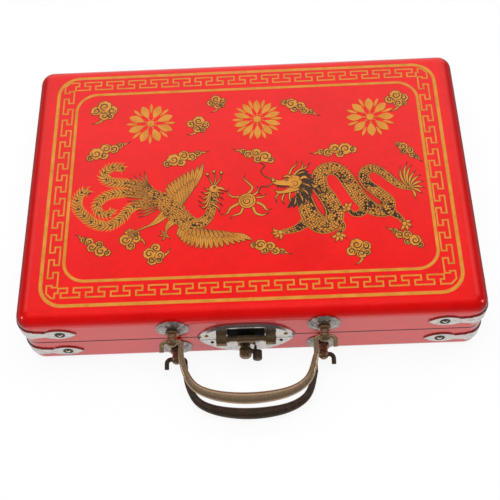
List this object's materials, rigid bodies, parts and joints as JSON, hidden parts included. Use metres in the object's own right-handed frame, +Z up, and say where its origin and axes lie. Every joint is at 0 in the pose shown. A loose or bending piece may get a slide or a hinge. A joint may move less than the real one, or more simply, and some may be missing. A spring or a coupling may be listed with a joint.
{
  "type": "hinged game tile case with drawers",
  "caption": "Flat red hinged case for game tiles, with gold print on the lid, paired bail handles, a front latch, end drawers and a divided tray.",
  "frame": {"origin": "middle of the case's underside, where it rests", "axes": "+X along the case's length to the right as seen from the handles, -Y towards the handles, +Z up"},
  "size_m": [0.317, 0.2589, 0.057],
  "materials": {
    "red_cover": "glossy red covered wood",
    "lining_cloth": "matt cloth",
    "felt": "matt felt",
    "tray_wood": "satin stained wood",
    "plain_wood": "plain sanded wood",
    "brass_nail": "bright brass",
    "silvered_steel": "aged silvery steel",
    "black_iron": "blackened",
    "antique_bronze": "antique bronze",
    "dark_bronze": "dark antique bronze"
  },
  "bodies": {
    "base": {"base_shell": "red_cover", "drawer_guides": "plain_wood", "deck_ledgers": "plain_wood", "drawer_stop": "plain_wood", "deck_panel": "plain_wood", "deck_felt": "felt", "tray_frame": "tray_wood", "tray_long_divider": "tray_wood", "tray_cross_dividers": "tray_wood", "base_bracket_front_left": "silvered_steel", "base_bracket_front_right": "silvered_steel", "base_bracket_back_left": "silvered_steel", "base_bracket_back_right": "silvered_steel", "base_bracket_nails": "brass_nail", "base_latch_plate": "silvered_steel", "base_latch_nails": "brass_nail", "catch_stud": "antique_bronze", "stud_rivets": "antique_bronze", "lower_handle_roses": "silvered_steel", "lower_handle_posts": "antique_bronze", "base_hinge_leaves": "antique_bronze", "base_hinge_nails": "antique_bronze", "hinge_pins": "antique_bronze"},
    "lid": {"lid_shell": "red_cover", "lid_lining": "lining_cloth", "lid_bracket_front_left": "silvered_steel", "lid_bracket_front_right": "silvered_steel", "lid_bracket_back_left": "silvered_steel", "lid_bracket_back_right": "silvered_steel", "lid_bracket_nails": "brass_nail", "lid_latch_plate": "silvered_steel", "lid_latch_nails": "brass_nail", "latch_backing": "black_iron", "latch_knuckles": "antique_bronze", "upper_handle_roses": "silvered_steel", "upper_handle_posts": "antique_bronze", "lid_hinge_leaves": "antique_bronze", "lid_hinge_nails": "antique_bronze"},
    "hasp": {"hasp_tongue": "antique_bronze", "hasp_bar": "antique_bronze"},
    "lever": {"catch_lever": "antique_bronze"},
    "upper_bail": {"upper_handle": "antique_bronze"},
    "lower_bail": {"lower_handle": "dark_bronze"},
    "left_drawer": {"left_drawer_box": "plain_wood", "left_drawer_front": "red_cover", "left_drawer_felt": "felt", "left_drawer_pull": "antique_bronze"},
    "right_drawer": {"right_drawer_box": "plain_wood", "right_drawer_front": "red_cover", "right_drawer_felt": "felt", "right_drawer_pull": "antique_bronze"}
  },
  "joints": [
    {"name": "lid_hinge", "type": "hinge", "parent": "base", "child": "lid", "pos_m": [0, 0.1055, 0.02775], "axis": [-1, 0, 0], "range_deg": [0, 110]},
    {"name": "hasp_swing", "type": "hinge", "parent": "lid", "child": "hasp", "pos_m": [-0.0038, -0.1079, 0.03335], "axis": [-1, 0, 0], "range_deg": [0, 150]},
    {"name": "lever_turn", "type": "hinge", "parent": "base", "child": "lever", "pos_m": [-0.0049, -0.11, 0.02], "axis": [0, -1, 0], "range_deg": [0, 75]},
    {"name": "upper_handle_swing", "type": "hinge", "parent": "lid", "child": "upper_bail", "pos_m": [-0.0022, -0.1123, 0.0425], "axis": [-1, 0, 0], "range_deg": [-28, 105]},
    {"name": "lower_handle_swing", "type": "hinge", "parent": "base", "child": "lower_bail", "pos_m": [-0.0022, -0.1123, 0.01375], "axis": [-1, 0, 0], "range_deg": [-60, 28]},
    {"name": "left_drawer_slide", "type": "slide", "parent": "base", "child": "left_drawer", "axis": [-1, 0, 0], "range_m": [0, 0.11]},
    {"name": "right_drawer_slide", "type": "slide", "parent": "base", "child": "right_drawer", "axis": [1, 0, 0], "range_m": [0, 0.11]}
  ]
}
